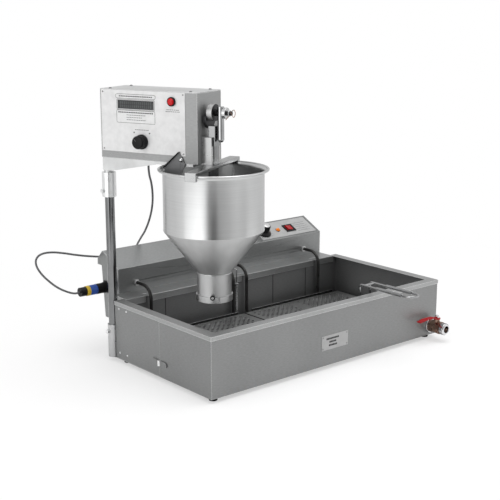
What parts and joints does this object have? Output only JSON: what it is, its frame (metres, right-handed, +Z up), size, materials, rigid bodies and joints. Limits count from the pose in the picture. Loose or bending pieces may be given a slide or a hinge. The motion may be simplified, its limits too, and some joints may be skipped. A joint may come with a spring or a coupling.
{
  "type": "donut fryer",
  "caption": "Table-top donut fryer: a rectangular oil tank with tube heaters, lift-out grids and a drain valve, and a swivelling head with a crank-driven dough hopper.",
  "frame": {"origin": "middle of the footprint of the machine without its free cord, on the surface that it stands on", "axes": "+X along the tank to the drain end, +Y to the back, where the control box hangs, +Z up"},
  "size_m": [1.0778, 0.8205, 0.799],
  "materials": {
    "casing_steel": "brushed stainless sheet",
    "bath_steel": "brushed stainless sheet, darker from oil",
    "rim_steel": "brushed stainless sheet",
    "hopper_steel": "spun and brushed stainless",
    "bright_steel": "polished steel",
    "collar_alloy": "turned aluminium",
    "plate_alloy": "pale printed aluminium plate, left bare",
    "grid_steel": "punched stainless sheet",
    "heater_tube": "dark oxidised heater sheath",
    "valve_brass": "dull cast brass",
    "valve_chrome": "chrome plate",
    "lever_red": "red dipped steel",
    "black_plastic": "moulded plastic",
    "foot_rubber": "black rubber",
    "lamp_amber": "translucent amber cap",
    "rocker_red": "translucent red rocker",
    "button_red": "moulded red button",
    "window_dark": "dark display window",
    "plug_blue": "blue and yellow moulded rings",
    "cord_grey": "grey sheathed cable",
    "motor_grey": "painted gearmotor",
    "guide_grey": "folded sheet with a dark edge"
  },
  "bodies": {
    "tank": {"casing_wrap": "casing_steel", "casing_rear": "casing_steel", "feet": "foot_rubber", "bath": "bath_steel", "rim_frame": "rim_steel", "seam_clip": "bright_steel", "casing_rivets": "bright_steel", "front_plate": "plate_alloy", "drain_nipple": "valve_chrome", "valve_body": "valve_brass", "outlet_fitting": "valve_chrome", "post_socket": "bright_steel", "post_tube": "bright_steel", "swivel_collar": "collar_alloy", "set_screws": "bright_steel", "control_box": "casing_steel", "control_ends": "casing_steel", "splash_ledge": "rim_steel", "control_plate": "plate_alloy", "thermostat_body": "black_plastic", "pilot_lamp": "lamp_amber", "rocker_housing": "black_plastic", "left_heater": "heater_tube", "right_heater": "heater_tube", "heater_bushings": "bright_steel", "thermostat_bulb": "bright_steel", "connector_socket": "black_plastic", "plug_shell": "black_plastic", "plug_rings": "plug_blue", "control_cord": "cord_grey"},
    "valve_handle": {"valve_ball": "valve_chrome", "valve_stem": "valve_chrome", "valve_lever": "lever_red"},
    "thermostat_dial": {"thermostat_knob": "black_plastic"},
    "rocker": {"rocker_button": "rocker_red"},
    "left_grid": {"left_grid": "grid_steel"},
    "right_grid": {"right_grid": "grid_steel", "grid_handle": "bright_steel"},
    "head": {"head_case": "casing_steel", "head_lid": "rim_steel", "head_screws": "bright_steel", "head_label": "plate_alloy", "display_window": "window_dark", "start_bezel": "black_plastic", "head_arm": "bright_steel", "gearmotor": "motor_grey", "guide_rails": "bright_steel", "crossbar": "bright_steel", "hopper": "hopper_steel", "nozzle_ring": "hopper_steel", "hopper_guide": "guide_grey", "cord_gland": "black_plastic"},
    "start_button": {"start_button": "button_red"},
    "mode_knob": {"mode_knob": "black_plastic"},
    "crank": {"crank": "bright_steel", "pin_keeper": "bright_steel"},
    "con_rod": {"con_rod": "bright_steel"},
    "plunger": {"plunger": "bright_steel", "piston": "collar_alloy"}
  },
  "joints": [
    {"name": "head_swivel", "type": "hinge", "parent": "tank", "child": "head", "pos_m": [-0.435, 0.24157, 0.525], "axis": [0, 0, 1], "range_deg": [-45, 55], "deforming": ["control_cord"]},
    {"name": "crank_turn", "type": "hinge", "parent": "head", "child": "crank", "pos_m": [-0.28053, -0.07993, 0.723], "axis": [-0.3584, 0.9336, 0], "range_deg": [0, 180]},
    {"name": "rod_turn", "type": "hinge", "parent": "crank", "child": "con_rod", "pos_m": [-0.28339, -0.07246, 0.741], "axis": [-0.3584, 0.9336, 0], "range_deg": [-180, 0]},
    {"name": "plunger_slide", "type": "slide", "parent": "head", "child": "plunger", "axis": [0, 0, -1], "range_m": [0, 0.0361]},
    {"name": "start_press", "type": "slide", "parent": "head", "child": "start_button", "axis": [0.9336, 0.3584, 0], "range_m": [0, 0.003], "stiffness_N_per_m": 400},
    {"name": "mode_turn", "type": "hinge", "parent": "head", "child": "mode_knob", "pos_m": [-0.40518, 0.11644, 0.655], "axis": [0.9336, 0.3584, 0], "range_deg": [0, 92]},
    {"name": "valve_turn", "type": "hinge", "parent": "tank", "child": "valve_handle", "pos_m": [0.432, -0.25293, 0.075], "axis": [0, 0, 1], "range_deg": [0, 90]},
    {"name": "thermostat_turn", "type": "hinge", "parent": "tank", "child": "thermostat_dial", "pos_m": [0.207, 0.31099, 0.28007], "axis": [0, -0.454, 0.891], "range_deg": [0, 270]},
    {"name": "rocker_tilt", "type": "hinge", "parent": "tank", "child": "rocker", "pos_m": [0.321, 0.31054, 0.28096], "axis": [0, 0.891, 0.454], "range_deg": [-17, 0]},
    {"name": "left_grid_lift", "type": "slide", "parent": "tank", "child": "left_grid", "axis": [0, 0, 1], "range_m": [0, 0.12]},
    {"name": "right_grid_lift", "type": "slide", "parent": "tank", "child": "right_grid", "axis": [0, 0, 1], "range_m": [0, 0.12]}
  ],
  "couplings": [
    {"joint": "rod_turn", "follows": "crank_turn", "ratio": -1},
    {"joint": "plunger_slide", "follows": "crank_turn", "m_per_rad": 0.011459}
  ]
}
